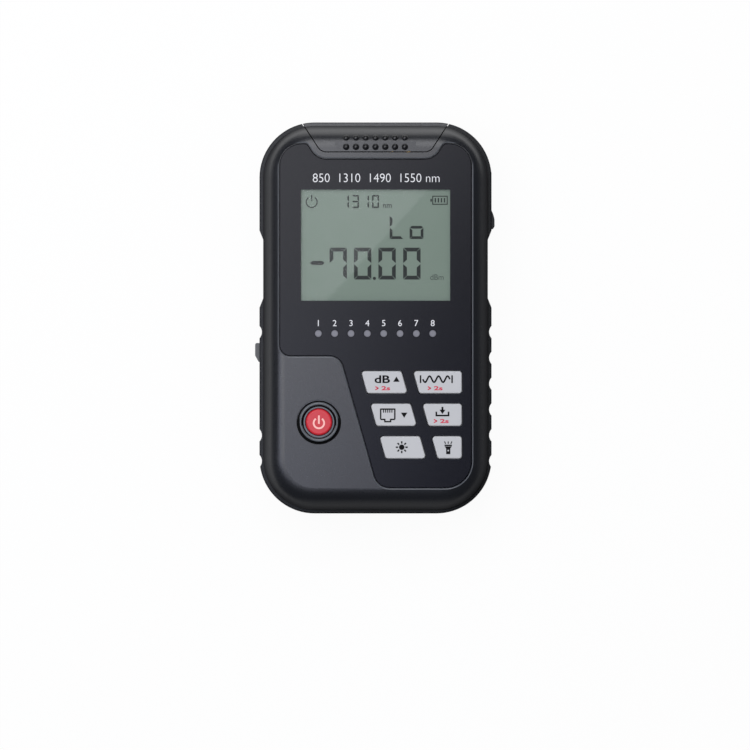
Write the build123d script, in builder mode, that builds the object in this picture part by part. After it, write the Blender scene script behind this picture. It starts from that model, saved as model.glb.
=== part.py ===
from build123d import *
import os

# Hand-held optical power meter lying on its back, in millimetres.
# +Z points out of the face, +Y towards the port end, +X to the right as the face is read.
# The origin is the centre of the flat back.

os.makedirs("parts", exist_ok=True)

# Housing: its length, width and depth follow from what it holds
corner_radius = 17.2
front_depth = 9.5
side_border = 6.3
rim_step = 1.2
wall = 2.0
back_wall = 2.2
face_wall = 3.8
roll_radius = 6.8
back_radius = 4.0
clearance = 0.3

# Grip on the long sides
waist_margin, waist_length = 36.7, 18.1
waist_ramp = 3.0
rib_drop = 10.6
rib_pitch = 8.05
rib_count = 6
rib_depth = 0.75
rib_radius = 2.8
left_ribs = (0, 4, 5)

# Dust cover and its hinge
cover_flat = 1.3
cover_corner = 3.0
cover_flare = 6.0
cover_wall = 1.8
hinge_inset, hinge_z = 2.4, 6.0
barrel_radius = 2.3
barrel_overhang = 2.5
pin_radius = 1.0
lug_inset, lug_width = 0.9, 3.7
lip_height = 2.6
dot_columns = 7
dot_pitch = 3.04
dot_radius = 1.2
dot_margin, dot_row_pitch = 1.4, 2.7
pad_recess = 0.25

# Face, from the cover down to the foot
overlay_rise = 2.5
overlay_recess = 1.8
overlay_thickness = 1.0
overlay_gap = 0.25
edge_break = 0.25
overlay_shoulder = 13.0
shoulder_inset, foot_inset = 10.2, 9.0
notch_radius = 1.6
trim_width = 2.3
window_drop = 11.8
window_width, window_height = 46.4, 34.6
window_border = 6.7
lcd_margin = 1.8
lamp_drop = 10.2
lamp_count = 8
lamp_pitch = 5.08
lamp_radius = 1.0
slant = 0.2837
field_x, field_drop = -11.0, 7.0
key_drop = 11.7
key_foot = 9.14
foot_margin = 8.1

# Keys and power button
key_height = 6.9
key_width = 12.5
key_gap = 3.7
key_pitch = 10.13
key_rows = 3
key_lead_x = -4.5
key_border = 3.1
key_corner = 0.9
key_rise = 0.7
key_travel = 0.6
key_flange = 0.6
power_inset, power_foot = 18.6, 28.6
power_radius = 4.15
power_ring_radius = 6.9

# Port end
bay_wall = 1.8
panel_margin = 1.5
panel_lip = 1.6
jack_edge, port_edge = 0.4, 0.9
jack_width, jack_height, jack_length = 16.0, 11.6, 15.0
jack_floor = 6.0
laser_gap, laser_drop, laser_radius = 4.4, 7.4, 3.2
detector_gap, detector_rise, detector_radius = 5.2, 0.4, 3.9
nose_reach, port_tail, laser_reach, laser_tail = 4.8, 4.6, 3.6, 3.0
ferrule_radius, ferrule_depth = 1.26, 9.0
can_radius, can_length = 2.7, 5.7
module_radius, module_length, module_taper = 3.0, 18.0, 2.0
torch_radius = 2.0

# Board and what stands on it
board_margin = 3.8
board_thickness = 1.6
board_drop = 1.3
switch_size = 6.0
switch_height = 3.5
plunger_radius = 1.75
battery_size = (44.0, 60.0, 9.0)
battery_foot = 16.0

# Side controls
slider_drop, slider_sink = 6.35, 2.6
slider_length, slider_height = 5.9, 4.4
slider_travel = 6.0
slider_proud = 1.4
socket_margin = 24.5
socket_height = 3.2
flap_reach, flap_tail = 9.5, 8.7
flap_height = 6.6
flap_depth = 1.4
lip_proud, lip_length = 0.95, 5.8

# Screws
boss_radius = 3.2
boss_margin, boss_foot = 37.0, 13.6
post_radius = 2.4
post_inset, post_margin = 4.0, 3.0
case_head_z = 12.0
case_screw_radius = 1.25
board_screw_radius = 1.0

# Widths, from the ports and the display out to the sides
port_span = jack_edge + jack_width + laser_gap + detector_gap + detector_radius + port_edge
panel_half_width = port_span / 2
jack_x = jack_edge + jack_width / 2 - panel_half_width
laser_x = jack_x + jack_width / 2 + laser_gap
detector_x = laser_x + detector_gap
cover_front_half = panel_half_width + panel_margin
barrel_half = cover_front_half + barrel_overhang
lug_outer = cover_front_half - lug_inset
lug_inner = lug_outer - lug_width
overlay_half_width = max(window_width / 2 + window_border, cover_front_half + overlay_shoulder)
body_width = 2 * (overlay_half_width + side_border)
half_width = body_width / 2
front_half_width = half_width - rim_step
cavity_half_width = front_half_width - wall
boss_x = cavity_half_width - boss_radius - clearance
board_half_width = boss_x - boss_radius - clearance
key_right_x = overlay_half_width - key_border
power_x = power_inset - half_width

# Lengths, from the port end down the face to the foot
cover_length = rim_step + roll_radius + cover_flat
key_span = (key_rows - 1) * key_pitch + key_height
display_span = cover_length + window_drop + window_height + lamp_drop
body_length = display_span + key_drop + key_span + key_foot + foot_margin
half_length = body_length / 2
front_half_length = half_length - rim_step
cavity_half_length = front_half_length - wall
cover_front_y = half_length - cover_length
hinge_y = half_length - hinge_inset
dot_rows = (cover_front_y + dot_margin, cover_front_y + dot_margin + dot_row_pitch)
bay_y = cover_front_y - clearance
panel_back = bay_y - bay_wall - panel_lip
jack_back = bay_y - jack_length
overlay_top = cover_front_y + overlay_rise
overlay_bottom = foot_margin - half_length
window_y = cover_front_y - window_drop - window_height / 2
lamp_y = window_y - window_height / 2 - lamp_drop
field_corner = (field_x, lamp_y - field_drop)
key_lead = (key_lead_x, lamp_y - key_drop)
power_y = power_foot - half_length
waist_top = half_length - waist_margin
waist_bottom = waist_top - waist_length
rib_first_y = waist_bottom - rib_drop
slider_y = rib_first_y - slider_drop
socket_y = half_length - socket_margin
flap_bottom, flap_top = socket_y - flap_tail, socket_y + flap_reach
board_bottom_y, board_top_y = board_margin - cavity_half_length, panel_back - 1.0
battery_y = battery_foot + battery_size[1] / 2 - half_length
boss_rows = (half_length - boss_margin, boss_foot - half_length)
case_bosses = [(x, y) for y in boss_rows for x in (boss_x, -boss_x)]
post_x = board_half_width - post_inset
post_rows = (board_top_y - post_margin, board_bottom_y + post_margin)
board_posts = [(x, y) for y in post_rows for x in (post_x, -post_x)]

# Levels, from the back up to the face
jack_bottom = jack_floor
board_underside = jack_floor + jack_height
board_top = board_underside + board_thickness
parting_height = board_top + board_drop
body_depth = parting_height + front_depth
face_underside = body_depth - face_wall
overlay_floor = body_depth - overlay_recess
overlay_face = overlay_floor + overlay_thickness
panel_bottom, panel_top = back_wall + 1.0, face_underside - 0.6
detector_z = board_top + detector_rise
laser_z = detector_z - laser_drop
torch_z = (board_top + panel_top) / 2
slider_z = board_underside - slider_sink
socket_z = board_underside - socket_height / 2
key_face = overlay_face + key_rise
flange_bottom = face_underside - 1.0
switch_top = board_top + switch_height
plunger_bottom = board_top + 0.5 + key_travel + clearance
plunger_top = flange_bottom - 0.3
lcd_width, lcd_height = window_width + 2 * lcd_margin, window_height + 2 * lcd_margin
lcd_bottom = face_underside - 1.0
lamps = [((i - (lamp_count - 1) / 2) * lamp_pitch, lamp_y) for i in range(lamp_count)]
keys = {
    "key_reference": (0, 0),
    "key_wavelength": (0, 1),
    "key_cable_test": (1, 0),
    "key_store": (1, 1),
    "key_backlight": (2, 0),
    "key_torch": (2, 1),
}


def finish_piece(builder, name):
    """Name a finished piece and write it out."""
    builder.part.label = name
    export_step(builder.part, f"parts/{name}.step")


def cover_plan(grow, reach):
    """Plan of the dust cover, grown outward and cut off at y = reach."""
    spread = cover_flare / cover_length
    far_y = half_length + 6.0
    far_half = cover_front_half + spread * (far_y - cover_front_y)
    with BuildSketch() as plan:
        with BuildLine():
            Polyline(
                (-far_half, far_y),
                (-cover_front_half, cover_front_y),
                (cover_front_half, cover_front_y),
                (far_half, far_y),
                close=True,
            )
        make_face()
        fillet(plan.vertices().group_by(Axis.Y)[0], cover_corner)
        if grow:
            offset(amount=grow)
        with Locations((0, reach)):
            Rectangle(4 * far_half, body_length, align=(Align.CENTER, Align.MIN), mode=Mode.SUBTRACT)
    return plan.sketch


def overlay_plan(grow):
    """Plan of the overlay: a plate notched round the cover and cut away at the raised field."""
    foot_x = field_corner[0] + slant * (field_corner[1] - overlay_bottom)
    spread = cover_flare / cover_length
    notch_x = cover_front_half + spread * overlay_rise + trim_width * (1 + spread**2) ** 0.5
    far = 2 * body_length
    with BuildSketch() as plan:
        with Locations((0, (overlay_top + overlay_bottom) / 2)):
            Rectangle(2 * overlay_half_width, overlay_top - overlay_bottom)
        fillet(plan.vertices().group_by(Axis.Y)[-1], corner_radius - shoulder_inset)
        foot = plan.vertices().sort_by_distance((overlay_half_width, overlay_bottom))[0]
        fillet(foot, corner_radius - foot_inset)
        with BuildLine():
            Polyline(
                (-far, field_corner[1]),
                field_corner,
                (field_corner[0] + slant * far, field_corner[1] - far),
                (-far, field_corner[1] - far),
                close=True,
            )
        make_face(mode=Mode.SUBTRACT)
        add(cover_plan(trim_width, far), mode=Mode.SUBTRACT)
        fillet(plan.vertices().sort_by_distance(field_corner)[0], 4.4)
        fillet(plan.vertices().sort_by_distance((foot_x, overlay_bottom))[0], 5.0)
        fillet(plan.vertices().sort_by_distance((-overlay_half_width, field_corner[1]))[0], 3.4)
        for side in (-1, 1):
            fillet(plan.vertices().sort_by_distance((side * notch_x, overlay_top))[0], notch_radius)
        if grow:
            offset(amount=grow)
    return plan.sketch


def key_points(row, column):
    """Corners of one key, from its upper left one clockwise."""
    top = key_lead[1] - row * key_pitch
    bottom = top - key_height
    left = key_lead[0] + slant * row * key_pitch
    lean = slant * key_height
    if column == 0:
        right = left + key_width
        return [(left, top), (right, top), (right + lean, bottom), (left + lean, bottom)]
    left += key_width + key_gap
    return [(left, top), (key_right_x, top), (key_right_x, bottom), (left + lean, bottom)]


def key_centre(row, column):
    """Middle of one key."""
    points = key_points(row, column)
    return sum(p[0] for p in points) / 4, sum(p[1] for p in points) / 4


def key_plan(row, column, grow=0.0):
    """Plan of one key, grown outward."""
    with BuildSketch() as plan:
        with BuildLine():
            Polyline(*key_points(row, column), close=True)
        make_face()
        fillet(plan.vertices(), key_corner)
        if grow:
            offset(amount=grow)
    return plan.sketch


switch_places = [key_centre(*place) for place in keys.values()] + [(power_x, power_y)]


# Outer forms from which the shells and the dust cover are cut

with BuildPart() as rear_form:
    with BuildSketch():
        RectangleRounded(body_width, body_length, corner_radius)
    extrude(amount=parting_height)
    fillet(rear_form.faces().sort_by(Axis.Z)[0].edges(), back_radius)
    fillet(rear_form.faces().sort_by(Axis.Z)[-1].edges(), 0.5)
    with BuildSketch():
        for side in (-1, 1):
            with BuildLine():
                Polyline(
                    (side * front_half_width, waist_top),
                    (side * front_half_width, waist_bottom),
                    (side * (half_width + rim_step), waist_bottom - 2 * waist_ramp),
                    (side * (half_width + rim_step), waist_top + 2 * waist_ramp),
                    close=True,
                )
            make_face()
            for i in range(rib_count):
                if side > 0 or i in left_ribs:
                    rib_x = side * (half_width - rib_depth + rib_radius)
                    with Locations((rib_x, rib_first_y - i * rib_pitch)):
                        Circle(rib_radius)
    extrude(amount=body_depth, mode=Mode.SUBTRACT)

with BuildPart() as front_form:
    with BuildSketch(Plane.XY.offset(parting_height)):
        RectangleRounded(2 * front_half_width, 2 * front_half_length, corner_radius - rim_step)
    extrude(amount=body_depth - parting_height)
    fillet(front_form.faces().sort_by(Axis.Z)[-1].edges(), roll_radius)

with BuildPart() as cavity:
    with BuildSketch(Plane.XY.offset(back_wall)):
        RectangleRounded(2 * cavity_half_width, 2 * cavity_half_length, corner_radius - rim_step - wall)
    extrude(amount=face_underside - back_wall)

with BuildPart() as cover_space:
    with BuildSketch(Plane.XY.offset(lip_height)):
        add(cover_plan(clearance, body_length))
    extrude(amount=body_depth)

with BuildPart() as panel_space:
    with BuildSketch(Plane.XZ.offset(-bay_y - 1)):
        with Locations((0, (panel_bottom + panel_top) / 2)):
            Rectangle(2 * panel_half_width, panel_top - panel_bottom)
    extrude(amount=bay_y + 1 - panel_back)


# Front shell

with BuildPart() as front_shell:
    add(front_form.part)
    add(cavity.part, mode=Mode.SUBTRACT)
    with BuildSketch(Plane.XY.offset(parting_height)):
        add(cover_plan(clearance + bay_wall, cavity_half_length + 0.5))
    extrude(amount=face_underside - parting_height)
    with BuildSketch(Plane.XY.offset(parting_height)):
        with Locations(case_bosses):
            Circle(boss_radius)
    extrude(amount=face_underside - parting_height)
    with BuildSketch(Plane.XY.offset(board_top)):
        with Locations(board_posts):
            Circle(post_radius)
    extrude(amount=face_underside - board_top)
    add(cover_space.part, mode=Mode.SUBTRACT)
    add(panel_space.part, mode=Mode.SUBTRACT)
    with BuildSketch(Plane.XY.offset(overlay_floor)):
        add(overlay_plan(overlay_gap))
    extrude(amount=body_depth, mode=Mode.SUBTRACT)
    recess_walls = [f for f in front_shell.faces() if abs(f.bounding_box().min.Z - overlay_floor) < 1e-3]
    rims = [e for f in recess_walls for e in f.edges() if e.bounding_box().min.Z > overlay_face]
    chamfer(rims, edge_break)
    with BuildSketch(Plane.XY.offset(face_underside)):
        with Locations((0, window_y)):
            Rectangle(lcd_width + 0.6, lcd_height + 0.6)
        with Locations(lamps):
            Circle(lamp_radius + 0.15)
        for place in keys.values():
            add(key_plan(*place, grow=clearance))
    extrude(amount=face_wall, mode=Mode.SUBTRACT)
    with Locations((power_x, power_y, body_depth)):
        CounterBoreHole(power_radius + 0.35, power_ring_radius + 0.1, 1.2, depth=face_wall)
    with Locations(*[Location((x, y, parting_height), (180, 0, 0)) for x, y in case_bosses]):
        Hole(case_screw_radius + 0.02, depth=5.0)
    with Locations(*[Location((x, y, board_top), (180, 0, 0)) for x, y in board_posts]):
        Hole(board_screw_radius + 0.02, depth=5.0)

finish_piece(front_shell, "front_shell")


# Rear shell

slot_length = slider_length + slider_travel + 0.6
slot_y = slider_y - slider_travel / 2

with BuildPart() as rear_shell:
    add(rear_form.part)
    add(cavity.part, mode=Mode.SUBTRACT)
    with BuildSketch(Plane.XY.offset(back_wall)):
        add(cover_plan(clearance + bay_wall, cavity_half_length + 0.5))
    extrude(amount=parting_height - back_wall)
    with BuildSketch(Plane.XY.offset(back_wall)):
        with Locations(case_bosses):
            Circle(boss_radius)
    extrude(amount=parting_height - back_wall)
    with BuildSketch(Plane.XY.offset(back_wall)):
        with Locations((0, battery_y)):
            Rectangle(battery_size[0] + 3.2, battery_size[1] + 3.2)
            Rectangle(battery_size[0] + 0.6, battery_size[1] + 0.6, mode=Mode.SUBTRACT)
    extrude(amount=4.0)
    add(cover_space.part, mode=Mode.SUBTRACT)
    add(panel_space.part, mode=Mode.SUBTRACT)
    for side in (-1, 1):
        with BuildSketch(Plane.YZ.offset(side * (lug_inner + lug_outer) / 2)):
            with Locations((hinge_y, hinge_z)):
                Circle(barrel_radius)
                Rectangle(1.6 * barrel_radius, hinge_z - back_wall, align=(Align.CENTER, Align.MAX))
        extrude(amount=(lug_outer - lug_inner) / 2, both=True)
    with BuildSketch(Plane.YZ):
        with Locations((hinge_y, hinge_z)):
            Circle(pin_radius + 0.02)
    extrude(amount=lug_outer + 1, both=True, mode=Mode.SUBTRACT)
    with Locations(*[Location((x, y, 0), (180, 0, 0)) for x, y in case_bosses]):
        CounterBoreHole(case_screw_radius + 0.25, 2.6, case_head_z, depth=parting_height)
    with BuildSketch(Plane.YZ.offset(-cavity_half_width + 0.5)):
        with Locations((slot_y, slider_z)):
            RectangleRounded(slot_length, slider_height + 0.6, 0.9)
    extrude(amount=-wall - 4, mode=Mode.SUBTRACT)
    with BuildSketch(Plane.YZ.offset(half_width - flap_depth)):
        with Locations(((flap_bottom + flap_top) / 2, socket_z)):
            RectangleRounded(flap_top - flap_bottom + 0.6, flap_height + 0.6, 0.6)
    extrude(amount=flap_depth + 4, mode=Mode.SUBTRACT)
    with BuildSketch(Plane.YZ.offset(cavity_half_width - 0.5)):
        with Locations((socket_y, socket_z)):
            SlotOverall(9.8, socket_height + 0.7)
    extrude(amount=wall + 4, mode=Mode.SUBTRACT)

finish_piece(rear_shell, "rear_shell")


# Screws

def screw_group(places, head_z, head_radius, head_height, shank_radius, shank_length):
    """Pan-head screws that point up, one solid for each place."""
    with BuildPart() as screws:
        with BuildSketch(Plane.XY.offset(head_z)):
            with Locations(places):
                Circle(head_radius)
        extrude(amount=-head_height)
        fillet(screws.faces().filter_by(Axis.Z).group_by(Axis.Z)[0].edges(), head_height / 3)
        with BuildSketch(Plane.XY.offset(head_z)):
            with Locations(places):
                Circle(shank_radius)
        extrude(amount=shank_length)
        with BuildSketch(Plane.XY.offset(head_z - head_height)):
            with Locations(places):
                Rectangle(head_radius * 1.1, head_radius * 0.26)
                Rectangle(head_radius * 0.26, head_radius * 1.1)
        extrude(amount=head_height * 0.55, mode=Mode.SUBTRACT)
    return screws


case_reach = parting_height + 4.6 - case_head_z
case_screws = screw_group(case_bosses, case_head_z, 2.3, 1.9, case_screw_radius, case_reach)
finish_piece(case_screws, "case_screws")

board_screws = screw_group(board_posts, board_underside, 1.9, 1.4, board_screw_radius, board_thickness + 4.4)
finish_piece(board_screws, "board_screws")


# Overlay and clear window

with BuildPart() as front_overlay:
    with BuildSketch(Plane.XY.offset(overlay_floor)):
        add(overlay_plan(0))
        with Locations((0, window_y)):
            Rectangle(window_width, window_height, mode=Mode.SUBTRACT)
        with Locations(lamps):
            Circle(lamp_radius + 0.1, mode=Mode.SUBTRACT)
        for place in keys.values():
            add(key_plan(*place, grow=0.25), mode=Mode.SUBTRACT)
    extrude(amount=overlay_thickness)
    chamfer(front_overlay.faces().sort_by(Axis.Z)[-1].outer_wire().edges(), edge_break)

finish_piece(front_overlay, "front_overlay")

with BuildPart() as display_window:
    with BuildSketch(Plane.XY.offset(overlay_floor)):
        with Locations((0, window_y)):
            Rectangle(window_width - 0.1, window_height - 0.1)
    extrude(amount=overlay_thickness)

finish_piece(display_window, "display_window")


# Display behind the window

with BuildPart() as lcd_glass:
    with BuildSketch(Plane.XY.offset(lcd_bottom)):
        with Locations((0, window_y)):
            Rectangle(lcd_width, lcd_height)
    extrude(amount=overlay_floor - lcd_bottom)

finish_piece(lcd_glass, "lcd_glass")

with BuildPart() as lcd_backlight:
    with BuildSketch(Plane.XY.offset(board_top)):
        with Locations((0, window_y)):
            RectangleRounded(lcd_width - 2, lcd_height - 2, 1.0)
    extrude(amount=lcd_bottom - board_top)

finish_piece(lcd_backlight, "lcd_backlight")


# Indicator light pipe and the lamps under it

with BuildPart() as light_pipe:
    with BuildSketch(Plane.XY.offset(face_underside - 1.5)):
        with Locations((0, lamp_y)):
            SlotOverall((lamp_count - 1) * lamp_pitch + 4, 3.4)
    extrude(amount=1.5)
    with BuildSketch(Plane.XY.offset(face_underside)):
        with Locations(lamps):
            Circle(lamp_radius)
    extrude(amount=overlay_face - face_underside)

finish_piece(light_pipe, "light_pipe")

with BuildPart() as indicator_leds:
    with Locations(*[(x, y, board_top) for x, y in lamps]):
        Box(1.6, 0.8, 0.7, align=(Align.CENTER, Align.CENTER, Align.MIN))

finish_piece(indicator_leds, "indicator_leds")


# Keys and power button, each with the switch plunger that it pushes

def switch_plunger(place):
    """Push-switch plunger under one key."""
    with BuildPart() as plunger:
        with BuildSketch(Plane.XY.offset(plunger_bottom)):
            with Locations(place):
                Circle(plunger_radius)
        extrude(amount=plunger_top - plunger_bottom)
    return plunger


for name, place in keys.items():
    with BuildPart() as key:
        with BuildSketch(Plane.XY.offset(flange_bottom)):
            add(key_plan(*place, grow=key_flange))
        extrude(amount=face_underside - flange_bottom)
        with BuildSketch(Plane.XY.offset(face_underside)):
            add(key_plan(*place))
        extrude(amount=key_face - face_underside)
        fillet(key.faces().sort_by(Axis.Z)[-1].edges(), 0.35)
        with BuildSketch(Plane.XY.offset(plunger_top)):
            with Locations(key_centre(*place)):
                Circle(plunger_radius + 0.4)
        extrude(amount=flange_bottom - plunger_top)
    finish_piece(key, name)
    finish_piece(switch_plunger(key_centre(*place)), f"{name}_plunger")

button_top = body_depth + 0.3

with BuildPart() as power_button:
    with BuildSketch(Plane.XZ.offset(-power_y)):
        with BuildLine():
            Polyline(
                (power_x, plunger_top),
                (power_x + plunger_radius + 0.4, plunger_top),
                (power_x + plunger_radius + 0.4, flange_bottom),
                (power_x + power_radius + 1.2, flange_bottom),
                (power_x + power_radius + 1.2, face_underside),
                (power_x + power_radius, face_underside),
                (power_x + power_radius, button_top - 0.6),
            )
            ThreePointArc(
                (power_x + power_radius, button_top - 0.6),
                (power_x + power_radius - 0.2, button_top - 0.2),
                (power_x + power_radius - 0.6, button_top),
            )
            Polyline(
                (power_x + power_radius - 0.6, button_top),
                (power_x, button_top),
                (power_x, plunger_top),
            )
        make_face()
    revolve(axis=Axis((power_x, power_y, 0), (0, 0, 1)))

finish_piece(power_button, "power_button")
finish_piece(switch_plunger((power_x, power_y)), "power_plunger")

ring_floor = body_depth - 1.2

with BuildPart() as power_ring:
    with BuildSketch(Plane.XZ.offset(-power_y)):
        with BuildLine():
            Polyline(
                (power_x + power_radius + 0.2, ring_floor),
                (power_x + power_ring_radius, ring_floor),
                (power_x + power_ring_radius, ring_floor + 0.4),
                (power_x + power_ring_radius - 0.7, ring_floor + 0.4),
                (power_x + power_ring_radius - 0.7, body_depth),
            )
            ThreePointArc(
                (power_x + power_ring_radius - 0.7, body_depth),
                (power_x + power_ring_radius - 1.2, body_depth + 0.5),
                (power_x + power_ring_radius - 1.7, body_depth),
            )
            Polyline(
                (power_x + power_ring_radius - 1.7, body_depth),
                (power_x + power_ring_radius - 1.7, ring_floor + 0.4),
                (power_x + power_radius + 0.6, ring_floor + 0.4),
                (power_x + power_radius + 0.6, body_depth - 0.2),
                (power_x + power_radius + 0.2, body_depth - 0.2),
                (power_x + power_radius + 0.2, ring_floor),
            )
        make_face()
    revolve(axis=Axis((power_x, power_y, 0), (0, 0, 1)))

finish_piece(power_ring, "power_ring")


# Dust cover: cut from the outer forms, hollow, open towards the ports

cover_bottom = hinge_z + barrel_radius + 0.4

with BuildPart() as cover_hollow:
    with BuildSketch(Plane.XY.offset(-1)):
        add(cover_plan(-cover_wall, front_half_length - cover_wall))
        with Locations((0, cover_front_y)):
            Rectangle(2 * (cover_front_half - cover_wall), 12)
    extrude(amount=body_depth - cover_wall + 1)
    ridge = cover_hollow.edges().filter_by(Axis.X).group_by(Axis.Y)[-1].sort_by(Axis.Z)[-1]
    fillet(ridge, roll_radius - cover_wall)

with BuildPart() as dust_cover:
    add(rear_form.part)
    add(front_form.part)
    with BuildSketch(Plane.XY.offset(cover_bottom)):
        add(cover_plan(0, body_length))
    extrude(amount=body_depth, mode=Mode.INTERSECT)
    with BuildSketch(Plane.XY.offset(body_depth - pad_recess)):
        with Locations((0, sum(dot_rows) / 2)):
            SlotOverall((dot_columns + 1.3) * dot_pitch, 2 * dot_row_pitch)
    extrude(amount=body_depth, mode=Mode.SUBTRACT)
    roll_y = front_half_length - roll_radius
    for row_y in dot_rows:
        past_roll = max(row_y - roll_y, 0.0)
        sink = max(pad_recess, roll_radius - (roll_radius**2 - past_roll**2) ** 0.5)
        with Locations((0, row_y, body_depth - sink - 0.55 * dot_radius)):
            with GridLocations(dot_pitch, 1, dot_columns, 1):
                Sphere(dot_radius)
    add(cover_hollow.part, mode=Mode.SUBTRACT)
    with BuildSketch(Plane.YZ):
        with Locations((hinge_y, hinge_z)):
            Circle(barrel_radius)
            with Locations((0.6, 0)):
                Rectangle(1.7, cover_bottom - hinge_z + 0.5, align=(Align.MIN, Align.MIN))
    extrude(amount=barrel_half, both=True)
    for side in (-1, 1):
        with Locations((side * (lug_inner + lug_outer) / 2, hinge_y, hinge_z)):
            Box(
                lug_outer - lug_inner + 2 * clearance,
                4 * barrel_radius,
                2 * (cover_bottom - hinge_z),
                mode=Mode.SUBTRACT,
            )
    with BuildSketch(Plane.YZ):
        with Locations((hinge_y, hinge_z)):
            Circle(pin_radius + 0.05)
    extrude(amount=barrel_half + 1, both=True, mode=Mode.SUBTRACT)

finish_piece(dust_cover, "dust_cover")

with BuildPart() as hinge_pin:
    with BuildSketch(Plane.YZ):
        with Locations((hinge_y, hinge_z)):
            Circle(pin_radius)
    extrude(amount=lug_outer, both=True)

finish_piece(hinge_pin, "hinge_pin")


# Port panel with its openings

with BuildPart() as port_panel:
    with BuildSketch(Plane.XZ.offset(-panel_back)):
        with Locations((0, (back_wall + face_underside) / 2)):
            Rectangle(2 * panel_half_width + 4, face_underside - back_wall)
    extrude(amount=-panel_lip)
    with BuildSketch(Plane.XZ.offset(-panel_back)):
        with Locations((0, (panel_bottom + panel_top) / 2)):
            Rectangle(2 * panel_half_width - 0.2, panel_top - panel_bottom - 0.2)
    extrude(amount=-(bay_y - panel_back))
    with BuildSketch(Plane.XZ.offset(-panel_back)):
        with Locations((jack_x, (jack_bottom + board_underside) / 2)):
            Rectangle(jack_width + 0.2, jack_height + 0.2)
        with Locations((detector_x, detector_z)):
            Circle(detector_radius + 0.05)
        with Locations((laser_x, laser_z)):
            Circle(laser_radius + 0.05)
        with Locations((jack_x, torch_z)):
            Circle(torch_radius + 0.05)
    extrude(amount=-(bay_y - panel_back), mode=Mode.SUBTRACT)

finish_piece(port_panel, "port_panel")


# Cable-test jack and its contact wires

jack_mouth = (11.8, 6.8)
jack_mouth_z = jack_bottom + 2.6
jack_depth = 12.5

with BuildPart() as rj45_jack:
    with BuildSketch(Plane.XZ.offset(-jack_back)):
        with Locations((jack_x, (jack_bottom + board_underside) / 2)):
            Rectangle(jack_width, jack_height)
    extrude(amount=-jack_length)
    with BuildSketch(Plane.XZ.offset(-bay_y)):
        with Locations((jack_x, jack_mouth_z)):
            Rectangle(*jack_mouth, align=(Align.CENTER, Align.MIN))
        with Locations((jack_x, jack_mouth_z + jack_mouth[1])):
            Rectangle(6.2, 1.4, align=(Align.CENTER, Align.MIN))
    extrude(amount=jack_depth, mode=Mode.SUBTRACT)

finish_piece(rj45_jack, "rj45_jack")

with BuildPart() as contact_wire:
    with BuildSketch(Plane.YZ.offset(jack_x)):
        with BuildLine():
            Polyline(
                (bay_y - jack_depth, jack_mouth_z),
                (bay_y - 3.0, jack_mouth_z),
                (bay_y - 3.0, jack_mouth_z + 0.35),
                (bay_y - jack_depth + 1.5, jack_mouth_z + 1.5),
                (bay_y - jack_depth, jack_mouth_z + 1.5),
                close=True,
            )
        make_face()
    extrude(amount=0.175, both=True)

with BuildPart() as rj45_contacts:
    with GridLocations(1.02, 1, 8, 1):
        add(contact_wire.part)

finish_piece(rj45_contacts, "rj45_contacts")


# Turned ports, each with what sits behind it

def turned_port(x, z, profile):
    """Turned part round the port axis at (x, z), from (radius, y) corners."""
    with BuildPart() as port:
        with BuildSketch(Plane.XY.offset(z)):
            with BuildLine():
                Polyline(*[(x + r, y) for r, y in profile], close=True)
            make_face()
        revolve(axis=Axis((x, 0, z), (0, 1, 0)))
    return port


detector_back, detector_front = panel_back - port_tail, bay_y + nose_reach
can_front = detector_front - ferrule_depth
can_back = can_front - can_length

detector_port = turned_port(
    detector_x,
    detector_z,
    [
        (ferrule_radius, detector_front),
        (detector_radius - 0.6, detector_front),
        (detector_radius - 0.6, bay_y + 0.6),
        (detector_radius, bay_y + 0.6),
        (detector_radius, panel_back),
        (detector_radius + 0.7, panel_back),
        (detector_radius + 0.7, panel_back - 1.2),
        (detector_radius, panel_back - 1.2),
        (detector_radius, detector_back),
        (can_radius + 0.05, detector_back),
        (can_radius + 0.05, can_front),
        (ferrule_radius, can_front),
    ],
)
finish_piece(detector_port, "detector_port")

detector_can = turned_port(
    detector_x,
    detector_z,
    [
        (0, can_front),
        (can_radius, can_front),
        (can_radius, can_back + 0.7),
        (can_radius + 0.3, can_back + 0.7),
        (can_radius + 0.3, can_back),
        (0, can_back),
    ],
)
finish_piece(detector_can, "detector_can")

laser_front, laser_back = bay_y + laser_reach, panel_back - laser_tail

laser_port = turned_port(
    laser_x,
    laser_z,
    [
        (ferrule_radius, laser_front),
        (laser_radius - 0.5, laser_front),
        (laser_radius - 0.5, bay_y + 0.5),
        (laser_radius, bay_y + 0.5),
        (laser_radius, laser_back),
        (ferrule_radius, laser_back),
    ],
)
finish_piece(laser_port, "laser_port")

laser_module = turned_port(
    laser_x,
    laser_z,
    [
        (0, laser_back),
        (module_radius, laser_back),
        (module_radius, laser_back - module_length + module_taper),
        (module_radius - 0.8, laser_back - module_length),
        (0, laser_back - module_length),
    ],
)
finish_piece(laser_module, "laser_module")


# Torch lens and LED

with BuildPart() as torch_lens:
    with BuildSketch(Plane.XZ.offset(-panel_back)):
        with Locations((jack_x, torch_z)):
            Circle(torch_radius)
    extrude(amount=-(bay_y + 0.8 - panel_back))
    fillet(torch_lens.faces().sort_by(Axis.Y)[-1].edges(), 0.7)

finish_piece(torch_lens, "torch_lens")

with BuildPart() as torch_led:
    with BuildSketch(Plane.XZ.offset(-panel_back)):
        with Locations((jack_x, board_top)):
            Rectangle(5.0, torch_z + 2.2 - board_top, align=(Align.CENTER, Align.MIN))
    extrude(amount=2.4)

finish_piece(torch_led, "torch_led")


# Main board and the switches on it

tab_reach = cavity_half_width - 2.0

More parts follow.
